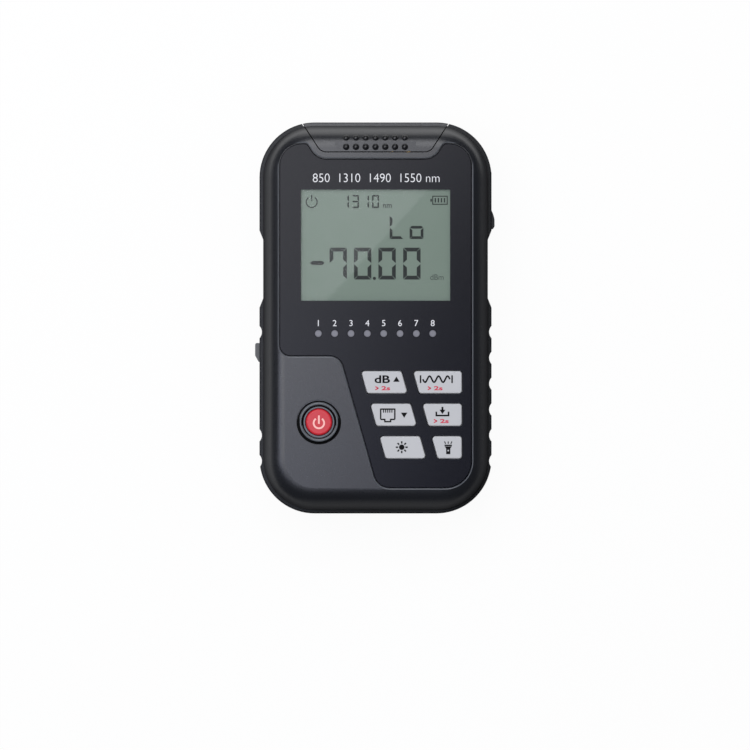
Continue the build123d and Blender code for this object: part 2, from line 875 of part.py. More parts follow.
with BuildPart() as main_board:
    with BuildSketch(Plane.XY.offset(board_underside)):
        with Locations((0, (board_bottom_y + board_top_y) / 2)):
            RectangleRounded(2 * board_half_width, board_top_y - board_bottom_y, 6.0)
        with Locations((0, socket_y)):
            Rectangle(tab_reach, 12, align=(Align.MIN, Align.CENTER))
        with Locations((0, slot_y)):
            Rectangle(tab_reach, 20, align=(Align.MAX, Align.CENTER))
        with Locations((detector_x, board_top_y)):
            Rectangle(2 * detector_radius + 3.0, 2 * (board_top_y - can_back + 1), mode=Mode.SUBTRACT)
        with Locations(board_posts):
            Circle(board_screw_radius + 0.15, mode=Mode.SUBTRACT)
    extrude(amount=board_thickness)

finish_piece(main_board, "main_board")

with BuildPart() as tact_switches:
    with Locations(*[(x, y, board_top) for x, y in switch_places]):
        Box(switch_size, switch_size, switch_height, align=(Align.CENTER, Align.CENTER, Align.MIN))
    with Locations(*[(x, y, switch_top) for x, y in switch_places]):
        Hole(plunger_radius + 0.1, depth=switch_height - 0.5)

finish_piece(tact_switches, "tact_switches")


# Slide switch on the left side: body, slider and the knob that the thumb moves

plate_x = -cavity_half_width + 0.2

with BuildPart() as slide_switch_body:
    with BuildSketch(Plane.XY.offset(slider_z - 3.0)):
        with Locations((-tab_reach + 1.2, slot_y)):
            Rectangle(5.4, 17.0, align=(Align.MIN, Align.CENTER))
    extrude(amount=board_underside - slider_z + 3.0)
    with BuildSketch(Plane.YZ.offset(-tab_reach + 1.2)):
        with Locations((slot_y, slider_z)):
            Rectangle(slider_travel + 3.0, 2.2)
    extrude(amount=3.4, mode=Mode.SUBTRACT)

finish_piece(slide_switch_body, "slide_switch_body")

with BuildPart() as slide_knob:
    with BuildSketch(Plane.YZ.offset(plate_x)):
        with Locations((slider_y, slider_z)):
            Rectangle(slot_length + slider_travel, slider_height + 2.0)
    extrude(amount=0.9)
    with BuildSketch(Plane.XY.offset(slider_z - slider_height / 2)):
        with BuildLine():
            Polyline(
                (plate_x, slider_y + slider_length / 2),
                (-half_width - slider_proud, slider_y + slider_length / 2),
                (-half_width - slider_proud, slider_y - slider_length / 6),
                (-half_width - 0.3, slider_y - slider_length / 2),
                (plate_x, slider_y - slider_length / 2),
                close=True,
            )
        make_face()
    extrude(amount=slider_height)
    fillet(slide_knob.edges().filter_by(Axis.Z).group_by(Axis.X)[0], 0.6)

finish_piece(slide_knob, "slide_knob")

with BuildPart() as slide_actuator:
    with BuildSketch(Plane.YZ.offset(plate_x + 0.9)):
        with Locations((slider_y, slider_z)):
            Rectangle(2.0, 1.6)
    extrude(amount=-tab_reach + 4.3 - plate_x - 0.9)

finish_piece(slide_actuator, "slide_actuator")


# Charging socket and its flap on the right side

with BuildPart() as usb_socket:
    with BuildSketch(Plane.YZ.offset(cavity_half_width - 6.8)):
        with Locations((socket_y, socket_z)):
            SlotOverall(8.9, socket_height)
    extrude(amount=7.2)
    with BuildSketch(Plane.YZ.offset(cavity_half_width + 0.4)):
        with Locations((socket_y, socket_z)):
            SlotOverall(8.3, socket_height - 0.6)
            Rectangle(6.6, 0.7, mode=Mode.SUBTRACT)
    extrude(amount=-6.2, mode=Mode.SUBTRACT)

finish_piece(usb_socket, "usb_socket")

flap_hinge_y = flap_top - flap_depth / 2
flap_x = half_width - flap_depth / 2

with BuildPart() as usb_flap:
    with BuildSketch(Plane.XY.offset(socket_z - flap_height / 2)):
        with BuildLine():
            Line((half_width - flap_depth, flap_hinge_y), (half_width - flap_depth, flap_bottom))
            Line((half_width - flap_depth, flap_bottom), (half_width + 0.4 * lip_proud, flap_bottom))
            ThreePointArc(
                (half_width + 0.4 * lip_proud, flap_bottom),
                (half_width + 0.9 * lip_proud, flap_bottom + 0.1 * lip_length),
                (half_width + lip_proud, flap_bottom + 0.25 * lip_length),
            )
            Line(
                (half_width + lip_proud, flap_bottom + 0.25 * lip_length),
                (half_width + lip_proud, flap_bottom + 0.5 * lip_length),
            )
            ThreePointArc(
                (half_width + lip_proud, flap_bottom + 0.5 * lip_length),
                (half_width + 0.62 * lip_proud, flap_bottom + 0.75 * lip_length),
                (half_width, flap_bottom + lip_length),
            )
            Line((half_width, flap_bottom + lip_length), (half_width, flap_hinge_y))
            ThreePointArc(
                (half_width, flap_hinge_y),
                (flap_x, flap_top),
                (half_width - flap_depth, flap_hinge_y),
            )
        make_face()
    extrude(amount=flap_height)
    with BuildSketch(Plane.YZ.offset(half_width - flap_depth)):
        with Locations((socket_y, socket_z)):
            SlotOverall(7.4, 2.4)
    extrude(amount=-1.2)

finish_piece(usb_flap, "usb_flap")


# Battery pack on the rear floor

with BuildPart() as battery_pack:
    with BuildSketch(Plane.XY.offset(back_wall)):
        with Locations((0, battery_y)):
            RectangleRounded(battery_size[0], battery_size[1], 2.0)
    extrude(amount=battery_size[2])
    fillet(battery_pack.faces().sort_by(Axis.Z)[-1].edges(), 1.5)

finish_piece(battery_pack, "battery_pack")
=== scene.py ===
"""Looks of a hand-held optical power meter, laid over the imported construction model."""

import logging
import math
from dataclasses import dataclass, field
from enum import Enum

import bmesh
import bpy
import numpy as np
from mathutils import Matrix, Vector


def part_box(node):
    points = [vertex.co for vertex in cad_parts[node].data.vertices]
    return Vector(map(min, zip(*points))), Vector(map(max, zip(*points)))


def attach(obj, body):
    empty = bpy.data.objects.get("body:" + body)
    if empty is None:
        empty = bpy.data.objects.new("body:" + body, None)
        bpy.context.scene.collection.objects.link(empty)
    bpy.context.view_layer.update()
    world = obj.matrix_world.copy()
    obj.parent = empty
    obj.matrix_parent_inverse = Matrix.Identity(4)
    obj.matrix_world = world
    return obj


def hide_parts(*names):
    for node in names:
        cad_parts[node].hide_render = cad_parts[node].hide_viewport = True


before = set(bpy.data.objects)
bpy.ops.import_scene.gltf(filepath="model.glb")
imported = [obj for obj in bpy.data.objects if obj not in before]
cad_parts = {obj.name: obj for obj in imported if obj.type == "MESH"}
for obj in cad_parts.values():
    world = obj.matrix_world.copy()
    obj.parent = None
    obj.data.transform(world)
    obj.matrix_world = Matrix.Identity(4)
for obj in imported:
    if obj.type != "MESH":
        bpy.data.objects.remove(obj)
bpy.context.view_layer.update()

log = logging.getLogger("optical_meter")
MM = 0.001
# Thickness of a printed or painted layer, in mm.
PRINT_THICKNESS = 0.03
# Height above which the broken edges of the face lie and get a painted highlight, in mm.
EDGE_HIGHLIGHT_LOW = 29.25
# Upward part of a face's normal where the painted highlight on such an edge begins, and where it is full.
EDGE_HIGHLIGHT_LEAN = (0.87, 0.81)

Spot = tuple[float, float]
Place = tuple[float, float, float]
Shape = tuple[np.ndarray, np.ndarray]
Tree = bpy.types.NodeTree
Socket = bpy.types.NodeSocket
Value = float | Socket


def linear(hex_colour: str) -> tuple[float, float, float, float]:
    """Turn an sRGB hex colour into linear red, green, blue and alpha.

    Args:
        hex_colour: Six hex digits after a hash sign.

    Returns:
        The colour that a shader socket takes.
    """
    s = np.array([int(hex_colour[i : i + 2], 16) for i in (1, 3, 5)]) / 255.0
    rgb = np.where(s <= 0.04045, s / 12.92, ((s + 0.055) / 1.055) ** 2.4)
    return (*(float(v) for v in rgb), 1.0)


def add_node(tree: Tree, kind: str, inputs: dict[str | int, object] | None = None) -> bpy.types.Node:
    """Add one node with its options, its values and its links.

    Args:
        tree: The node tree that gets the node.
        kind: Blender's name for the kind of node.
        inputs: Value of each of the node's own options and of each named or numbered input.
            An output socket as the value is linked to the input.

    Returns:
        The new node.
    """
    node = tree.nodes.new(kind)
    for key, value in (inputs or {}).items():
        if isinstance(value, Socket):
            tree.links.new(value, node.inputs[key])
        elif isinstance(key, int) or key in node.inputs:
            node.inputs[key].default_value = value
        else:
            setattr(node, key, value)
    return node


def calc(tree: Tree, operation: str, one: Value, other: Value) -> Socket:
    """Give what an operation makes of two values."""
    return add_node(tree, "ShaderNodeMath", {"operation": operation, 0: one, 1: other}).outputs["Value"]


def ramp(tree: Tree, value: Socket, start: Spot, end: Spot) -> Socket:
    """Give a straight ramp of a value, held at both ends.

    Args:
        tree: The node tree that gets the node.
        value: The value.
        start: A value and what the ramp gives there.
        end: The same for the ramp's other end.

    Returns:
        The socket that carries the ramp.
    """
    (first, low), (last, high) = start, end
    limits = {"From Min": first, "From Max": last, "To Min": low, "To Max": high}
    return add_node(tree, "ShaderNodeMapRange", {"Value": value, **limits}).outputs["Result"]


def mixed(tree: Tree, share: Socket, one: object, other: object) -> Socket:
    """Give a mix of two colours, each a socket or a linear colour, with the other's share."""
    return add_node(tree, "ShaderNodeMix", {"data_type": "RGBA", 0: share, 6: one, 7: other}).outputs[2]


class Metal(Enum):
    """How much of a surface is bare metal."""

    NONE = 0.0
    FULL = 1.0


@dataclass(frozen=True)
class Finish:
    """One real material with the surface that its making gave it.

    Attributes:
        name: Name of the real material.
        slot: Slot of the part that it dresses. Not used in this script.
        dark: Darkest colour of its slow cloud.
        light: Lightest colour of the cloud.
        roughness: Middle of its roughness.
        grain_mm: Size of its grain.
        grain_depth_mm: Depth of the grain.
        cloud_mm: Size of the cloud.
        stretch: How the grain is drawn out along each axis.
        roughness_spread: How far the grain moves the roughness.
        metal: Bare metal or none.
        ior: Index of refraction.
        specular: Strength of the surface's own reflection.
        coat: Weight of a clear coat.
        coat_roughness: Roughness of that coat.
        alpha: Share of it that hides what is behind.
        edge_highlight: Pale colour painted on its broken edges as a highlight, or None where no highlight is
            painted.
    """

    name: str
    slot: str
    dark: str
    light: str
    roughness: float
    grain_mm: float
    grain_depth_mm: float
    cloud_mm: float = 30.0
    stretch: tuple[float, float, float] = (1.0, 1.0, 1.0)
    roughness_spread: float = 0.05
    metal: Metal = Metal.NONE
    ior: float = 1.5
    specular: float = 0.5
    coat: float = 0.0
    coat_roughness: float = 0.05
    alpha: float = 1.0
    edge_highlight: str | None = None

    def build(self) -> bpy.types.Material:
        """Make the material: a grain for gloss and relief, and a slow cloud for colour.

        Returns:
            The finished material, which reads Object coordinates.
        """
        material = bpy.data.materials.new(self.name)
        material.use_nodes = True
        tree = material.node_tree
        tree.nodes.clear()
        place = add_node(tree, "ShaderNodeTexCoord").outputs["Object"]
        drawn = add_node(tree, "ShaderNodeMapping", {"Scale": self.stretch, "Vector": place})
        grain, cloud = (
            add_node(
                tree,
                "ShaderNodeTexNoise",
                {"Vector": way, "Scale": 1 / (size * MM), "Detail": detail, "Roughness": decay},
            ).outputs["Fac"]
            for way, size, detail, decay in (
                (drawn.outputs["Vector"], self.grain_mm, 2.0, 0.55), (place, self.cloud_mm, 1.0, 0.4),
            )
        )
        colour = mixed(tree, cloud, linear(self.dark), linear(self.light))
        dull, spread = self.roughness, self.roughness_spread
        relief = add_node(
            tree,
            "ShaderNodeBump",
            {"Height": grain, "Strength": 0.6, "Distance": self.grain_depth_mm * MM},
        )
        shader = add_node(
            tree,
            "ShaderNodeBsdfPrincipled",
            {
                # the broken edges get a pale painted highlight
                "Base Color": self.with_painted_edge_highlight(tree, colour) if self.edge_highlight else colour,
                "Roughness": ramp(tree, grain, (0.3, dull - spread), (0.7, dull + spread)),
                "Normal": relief.outputs["Normal"],
                "Metallic": self.metal.value,
                "IOR": self.ior,
                "Specular IOR Level": self.specular,
                "Coat Weight": self.coat,
                "Coat Roughness": self.coat_roughness,
                "Alpha": self.alpha,
            },
        )
        add_node(tree, "ShaderNodeOutputMaterial", {"Surface": shader.outputs["BSDF"]})
        return material

    def with_painted_edge_highlight(self, tree: Tree, colour: Socket) -> Socket:
        """Paint a pale highlight into the colour where a face leans steeply just under the top: on the broken
        edges there.

        Args:
            tree: The node tree that gets the nodes.
            colour: The colour of the other faces.

        Returns:
            The socket that carries the colour of both.
        """
        here = add_node(tree, "ShaderNodeTexCoord").outputs
        place, lean = (
            add_node(tree, "ShaderNodeSeparateXYZ", {"Vector": here[name]}).outputs["Z"]
            for name in ("Object", "Normal")
        )
        # mask of the broken edges that get the pale painted highlight
        high = calc(tree, "GREATER_THAN", place, EDGE_HIGHLIGHT_LOW * MM)
        steep = ramp(tree, lean, (EDGE_HIGHLIGHT_LEAN[0], 0.0), (EDGE_HIGHLIGHT_LEAN[1], 1.0))
        return mixed(tree, calc(tree, "MULTIPLY", high, steep), colour, linear(self.edge_highlight))


# Spark-eroded ABS: a satin charcoal skin. Its 0.3 mm grain is drawn a little coarser so that it shows.
# A pale highlight is painted on the sharp edges of its face.
SHELL = Finish(
    "abs_charcoal_satin", "shell_plastic", "#1a1c20", "#1f2126", 0.32, 0.4, 0.005,
    # pale painted highlight on the face's broken edges
    ior=1.57, specular=0.6, edge_highlight="#62666c",
)
# The same ABS with a coarser spark texture for the hand: duller, so that it looks darker in the light.
REAR = Finish("abs_charcoal_textured", "shell_plastic", "#1c1e21", "#222427", 0.48, 0.6, 0.01, specular=0.35)
# Hard-coated polycarbonate printed black on its back: smoother than the shell, with a faint orange peel.
OVERLAY = Finish(
    "polycarbonate_black_print", "overlay_plastic", "#080912", "#0c0d17", 0.24, 0.9, 0.0008,
    roughness_spread=0.015, specular=0.24,
)
# Cast acrylic window: nearly invisible, with a crisp reflection.
WINDOW = Finish(
    "acrylic_clear", "clear_window", "#101312", "#161918", 0.05, 4.0, 0.0005, alpha=0.04, ior=1.49
)
# Reflective liquid-crystal panel: a grey-green film under a glossy polariser.
PANEL = Finish(
    "lcd_reflective_film", "display_glass", "#76897a", "#7d8e81", 0.5, 0.5, 0.001,
    coat=0.32, coat_roughness=0.02,
)
# Switched-on liquid crystal: the same polariser over a dark green-black.
CRYSTAL = Finish(
    "lcd_dark_segment", "display_glass", "#091812", "#0d1d16", 0.5, 0.5, 0.001,
    coat=0.32, coat_roughness=0.02,
)
# White moulded ABS behind the display: even and matt.
WHITE_PART = Finish("abs_white", "white_plastic", "#d9dad8", "#e4e5e3", 0.5, 0.4, 0.003)
# Frosted polycarbonate light pipe: milky grey when it is off.
PIPE = Finish("polycarbonate_frosted", "light_pipe_plastic", "#73737b", "#7c7c84", 0.35, 0.3, 0.002)
# Glossy red ABS cap with a slight crown of reflection.
RED_CAP = Finish("abs_red_gloss", "red_plastic", "#cb1e2c", "#d42735", 0.36, 0.8, 0.002)
# Polished ABS ring: a glossy grey, so that its crown shows as a light line between channels of painted shade.
RING = Finish("abs_grey_polished", "ring_plastic", "#575b60", "#5e6267", 0.24, 0.8, 0.001)
# Matt black painted shade in the ring's two channels and on the flanks of its crown: the darkest thing on the
# face.
CHANNEL_SHADE = Finish("ring_painted_shade", "ring_plastic", "#050506", "#09090a", 0.7, 0.4, 0.003, specular=0.15)
# Light grey silicone-topped keys: matt with a very fine tooth.
KEY = Finish("silicone_light_grey", "key_plastic", "#bebfc1", "#c5c6c8", 0.5, 0.35, 0.004)
# Nickel-plated steel: bright, with fine drawn scratches along one way.
STEEL = Finish(
    "steel_nickel_plated", "steel", "#a9abad", "#bcbdbe", 0.28, 0.5, 0.002,
    stretch=(1, 1, 6), metal=Metal.FULL,
)
# Glass-filled black nylon: dull, with a visible flow grain.
NYLON = Finish("nylon_black", "black_plastic", "#1c1d1f", "#232427", 0.5, 0.6, 0.006)
# Gold-flashed contact metal: a small warm glint in the socket.
CONTACT = Finish(
    "contact_gold_flash", "plated_metal", "#c9a24a", "#d8b35c", 0.22, 0.4, 0.001, metal=Metal.FULL
)
# Turned brass tube: warm, with rings left by the tool.
BRASS = Finish(
    "brass_turned", "brass_tube", "#b08d45", "#c09c52", 0.3, 0.35, 0.002,
    stretch=(1, 8, 1), metal=Metal.FULL,
)
# Glass-epoxy board under green solder resist: the 0.5 mm weave just shows through.
BOARD = Finish("glass_epoxy_green", "board_laminate", "#14532f", "#1b6038", 0.35, 0.5, 0.004, coat=0.4)
# Grey nylon thumb knob: dull, and lighter than the shell round it.
KNOB = Finish("nylon_grey", "knob_plastic", "#5b5c5d", "#656667", 0.5, 0.5, 0.006)
# Soft thermoplastic rubber: matt and slightly dusty.
RUBBER = Finish("rubber_black", "flap_rubber", "#222326", "#2b2c2f", 0.65, 0.5, 0.008)
# The dust cover's own ABS polished by fingers: darker, with a small bright spot on each dot.
DOT = Finish("abs_charcoal_worn", "shell_plastic", "#131416", "#191a1d", 0.3, 0.5, 0.003)
# Shrunk blue film over a cell: glossy with slow wrinkles.
FILM = Finish("shrink_film_blue", "battery_film", "#21466f", "#2a5485", 0.25, 6.0, 0.05)
# Screen-printed inks: thin, flat and slightly textured. The black one hardly reflects.
WHITE_INK = Finish("ink_white", "overlay_plastic", "#e3e4e6", "#ececee", 0.5, 0.4, 0.002)
BLACK_INK = Finish("ink_black", "key_plastic", "#08080a", "#0d0d0f", 0.5, 0.4, 0.002, specular=0.12)
RED_INK = Finish("ink_red", "key_plastic", "#cc1f3f", "#d62a49", 0.5, 0.4, 0.002)
PINK_INK = Finish("ink_pale_pink", "red_plastic", "#ffb9b2", "#ffc6bf", 0.45, 0.4, 0.002)

KEY_NAMES = (
    "key_reference", "key_wavelength", "key_cable_test", "key_store", "key_backlight", "key_torch",
)

NODE_FINISHES: dict[Finish, tuple[str, ...]] = {
    SHELL: ("front_shell", "dust_cover"),
    REAR: ("rear_shell",),
    OVERLAY: ("front_overlay",),
    PANEL: ("lcd_glass",),
    WHITE_PART: ("lcd_backlight", "torch_led", "indicator_leds"),
    PIPE: ("light_pipe", "torch_lens"),
    RED_CAP: ("power_button",),
    RING: ("power_ring",),
    KEY: KEY_NAMES,
    STEEL: ("hinge_pin", "case_screws", "board_screws", "usb_socket", "detector_can"),
    NYLON: (
        "port_panel", "rj45_jack", "tact_switches", "slide_switch_body", "slide_actuator", "power_plunger",
        *(f"{name}_plunger" for name in KEY_NAMES),
    ),
    CONTACT: ("rj45_contacts",),
    BRASS: ("detector_port", "laser_port", "laser_module"),
    BOARD: ("main_board",),
    KNOB: ("slide_knob",),
    RUBBER: ("usb_flap",),
    FILM: ("battery_pack",),
}


@dataclass
class Palette:
    """Builds each finish once and hands it out."""

    built: dict[str, bpy.types.Material] = field(default_factory=dict)

    def of(self, finish: Finish) -> bpy.types.Material:
        """Give the material of a finish.

        Args:
            finish: The finish to look up or build.

        Returns:
            Its material.
        """
        if finish.name not in self.built:
            self.built[finish.name] = finish.build()
        return self.built[finish.name]

    def dress_nodes(self) -> None:
        """Put each construction node's own finish on it."""
        for finish, names in NODE_FINISHES.items():
            for name in names:
                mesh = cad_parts[name].data
                mesh.materials.clear()
                mesh.materials.append(self.of(finish))
                log.info("node %s: %s", name, finish.name)


def joined(rings: int, corners: int, closed: bool = False) -> np.ndarray:
    """Give the four-sided faces that join each ring of corners to the next.

    Args:
        rings: How many rings there are.
        corners: How many corners each has.
        closed: True where the last ring joins the first.

    Returns:
        Corner numbers of each face.
    """
    i, j = np.meshgrid(np.arange(rings if closed else rings - 1), np.arange(corners), indexing="ij")
    after, following = (i + 1) % rings * corners, (j + 1) % corners
    i = i * corners
    return np.stack([i + j, after + j, after + following, i + following], -1).reshape(-1, 4)


def bar(
    path: np.ndarray, widths: np.ndarray | float, low: float, high: float, closed: bool = False
) -> Shape:
    """Carry a flat rectangular section along a path in the plane.

    At each station the section is centred on the path and square to it. It is as wide as
    widths says there, and stands from low to high. The path's direction is the difference
    of the stations on either side.

    Args:
        path: Stations as x and y, in mm.
        widths: Width at each station, or one for all, in mm.
        low: Height of the underside, in mm.
        high: Height of the top, in mm.
        closed: True where the last station joins the first.

    Returns:
        The corners and the four-sided faces.
    """
    count = len(path)
    ahead = np.roll(path, -1, 0) - np.roll(path, 1, 0) if closed else np.gradient(path, axis=0)
    ahead = ahead / np.linalg.norm(ahead, axis=1, keepdims=True)
    half = np.broadcast_to(np.asarray(widths, float) / 2, count)[:, None]
    side = np.stack([-ahead[:, 1], ahead[:, 0]], 1) * half
    ring = np.empty((count, 4, 3))
    ring[:, [0, 3], :2] = (path + side)[:, None, :]
    ring[:, [1, 2], :2] = (path - side)[:, None, :]
    ring[:, :2, 2], ring[:, 2:, 2] = low, high
    faces = joined(count, 4, closed)
    if not closed:
        ends = np.array([[0, 1, 2, 3], [4 * count - 1, 4 * count - 2, 4 * count - 3, 4 * count - 4]])
        faces = np.vstack([faces, ends])
    return ring.reshape(-1, 3), faces


def line(start: Spot, end: Spot) -> np.ndarray:
    """Give the two stations of the straight line from start to end."""
    return np.array([start, end])


def arc(centre: Spot, radius: float, start: float, end: float, stations: int = 33) -> np.ndarray:
    """Give stations on a circle, from one angle to another.

    Args:
        centre: Middle of the circle, in mm.
        radius: Its radius, in mm.
        start: Angle of the first station, in degrees.
        end: Angle of the last one.
        stations: How many there are.

    Returns:
        The stations as x and y, in mm.
    """
    angle = np.radians(np.linspace(start, end, stations))
    return np.stack([centre[0] + radius * np.cos(angle), centre[1] + radius * np.sin(angle)], 1)


@dataclass
class PrintRun:
    """Flat shapes of one ink, gathered and then made one piece."""

    level: float
    thickness: float = PRINT_THICKNESS
    gathered: bmesh.types.BMesh = field(default_factory=bmesh.new)

    def stroke(self, path: np.ndarray, widths: np.ndarray | float, closed: bool = False) -> None:
        """Add one bar along a path.

        Args:
            path: Stations as x and y, in mm.
            widths: Width along the path, in mm.
            closed: True for a loop.
        """
        corners, faces = bar(path, widths, self.level, self.level + self.thickness, closed)
        self.shape(corners, faces)

    def shape(self, corners: np.ndarray, faces: np.ndarray | list[list[int]]) -> None:
        """Add a shape.

        Args:
            corners: Its corners, in mm.
            faces: Corner numbers of each face.
        """
        mesh = surface_mesh("stroke", corners, faces)
        self.gathered.from_mesh(mesh)
        bpy.data.meshes.remove(mesh)

    def prism(self, outline: np.ndarray) -> None:
        """Add a flat plate.

        Args:
            outline: Its convex outline as x and y, in mm.
        """
        count = len(outline)
        low = np.column_stack([outline, np.full(count, self.level)])
        high = np.column_stack([outline, np.full(count, self.level + self.thickness)])
        k = np.arange(count)
        sides = np.stack([k, (k + 1) % count, (k + 1) % count + count, k + count], -1)
        self.shape(np.vstack([low, high]), [*sides.tolist(), k[::-1].tolist(), (k + count).tolist()])

    def disc(self, centre: Spot, radius: float, stations: int = 25, end: float = 0.02) -> None:
        """Add a disc: a bar along its diameter, as wide at each station as the chord there.

        Args:
            centre: Middle of the disc, in mm.
            radius: Its radius, in mm.
            stations: Points along the diameter.
            end: Angle left off at each end, in radians, so that no chord is nothing.
        """
        along = -np.cos(np.linspace(end, math.pi - end, stations)) * radius
        path = np.stack([centre[0] + along, np.full_like(along, centre[1])], 1)
        self.stroke(path, 2 * np.sqrt(radius**2 - along**2))

    def wedge(self, tip: Spot, base: Spot, width: float, point: float = 0.02) -> None:
        """Add a triangle: a bar that narrows from its base to its tip.

        Args:
            tip: Where it points, in mm.
            base: Middle of the opposite side, in mm.
            width: Width of that side, in mm.
            point: Width left at the tip, in mm.
        """
        self.stroke(line(base, tip), np.array([width, point]))

    def letters(
        self,
        text: str,
        height: float,
        centre: Spot,
        width: float | None = None,
        bold: float = 0.0,
    ) -> None:
        """Add lettering, as a mesh that is scaled to its height and moved to its centre.

        Args:
            text: What to set.
            height: Height of the tallest character, in mm.
            centre: Middle of the line, in mm.
            width: Length of the line in mm, or None to keep the letters' own proportion.
            bold: How far the outline is pushed out, as a share of the letter size.
        """
        curve = bpy.data.curves.new("letters", "FONT")
        curve.body = text
        curve.extrude = 0.01
        curve.offset = bold
        curve.resolution_u = 4
        holder = bpy.data.objects.new("letters", curve)
        bpy.context.scene.collection.objects.link(holder)
        bpy.context.view_layer.update()
        mesh = bpy.data.meshes.new_from_object(holder.evaluated_get(bpy.context.evaluated_depsgraph_get()))
        spots = np.empty(len(mesh.vertices) * 3, np.float32)
        mesh.vertices.foreach_get("co", spots)
        spots = spots.reshape(-1, 3)
        low, high = spots.min(0), spots.max(0)
        scale = np.full(3, height / (high[1] - low[1]))
        if width is not None:
            scale[0] = width / (high[0] - low[0])
        scale[2] = self.thickness / (high[2] - low[2])
        middle = (low + high) / 2
        target = np.array([centre[0], centre[1], self.level + self.thickness / 2])
        mesh.vertices.foreach_set("co", (((spots - middle) * scale + target) * MM).astype(np.float32).ravel())
        self.gathered.from_mesh(mesh)
        bpy.data.objects.remove(holder)
        bpy.data.curves.remove(curve)
        bpy.data.meshes.remove(mesh)

    def finish(self, name: str, finish: Finish, body: str, palette: Palette) -> bpy.types.Object:
        """Make the gathered shapes one piece that rides on a body.

        Args:
            name: Name of the piece.
            finish: Its finish.
            body: The body that it moves with.
            palette: Where the material comes from.

        Returns:
            The piece.
        """
        mesh = bpy.data.meshes.new(name)
        self.gathered.to_mesh(mesh)
        self.gathered.free()
        return place_piece(name, mesh, finish, body, palette)


def place_piece(
    name: str, mesh: bpy.types.Mesh, finish: Finish, body: str, palette: Palette
) -> bpy.types.Object:
    """Link a finished mesh as a piece, dress it and let it ride on a body.

    Args:
        name: Name of the piece.
        mesh: Its mesh, already in place.
        finish: Its finish.
        body: The body that it moves with.
        palette: Where the material comes from.

    Returns:
        The piece.
    """
    mesh.materials.append(palette.of(finish))
    piece = bpy.data.objects.new(name, mesh)
    bpy.context.scene.collection.objects.link(piece)
    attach(piece, body)
    log.info("piece %s on %s: %d faces", name, body, len(mesh.polygons))
    return piece


def surface_mesh(
    name: str, corners: np.ndarray, faces: np.ndarray | list[list[int]], smooth: bool = False
) -> bpy.types.Mesh:
    """Put corners in mm and their faces into a new mesh.

    Args:
        name: Name of the mesh.
        corners: Corner points in mm.
        faces: Corner numbers of each face.
        smooth: True for a rounded surface.

    Returns:
        The mesh, in metres.
    """
    mesh = bpy.data.meshes.new(name)
    mesh.from_pydata((corners * MM).tolist(), [], [list(face) for face in faces])
    mesh.polygons.foreach_set("use_smooth", np.full(len(mesh.polygons), smooth))
    mesh.update()
    return mesh


class Segment(Enum):
    """One bar of a seven-bar digit: its two ends as shares of the digit's width and height."""

    TOP = ((0.0, 1.0), (1.0, 1.0))
    UPPER_RIGHT = ((1.0, 1.0), (1.0, 0.5))
    LOWER_RIGHT = ((1.0, 0.5), (1.0, 0.0))
    BOTTOM = ((0.0, 0.0), (1.0, 0.0))
    LOWER_LEFT = ((0.0, 0.5), (0.0, 0.0))
    UPPER_LEFT = ((0.0, 1.0), (0.0, 0.5))
    MIDDLE = ((0.0, 0.5), (1.0, 0.5))


ALL_BUT_MIDDLE = tuple(s for s in Segment if s is not Segment.MIDDLE)
GLYPHS: dict[str, tuple[Segment, ...]] = {
    "0": ALL_BUT_MIDDLE,
    "1": (Segment.UPPER_RIGHT, Segment.LOWER_RIGHT),
    "3": (Segment.TOP, Segment.UPPER_RIGHT, Segment.MIDDLE, Segment.LOWER_RIGHT, Segment.BOTTOM),
    "7": (Segment.UPPER_LEFT, Segment.TOP, Segment.UPPER_RIGHT, Segment.LOWER_RIGHT),
    "L": (Segment.UPPER_LEFT, Segment.LOWER_LEFT, Segment.BOTTOM),
    "o": (Segment.MIDDLE, Segment.LOWER_RIGHT, Segment.BOTTOM, Segment.LOWER_LEFT),
    "-": (Segment.MIDDLE,),
}


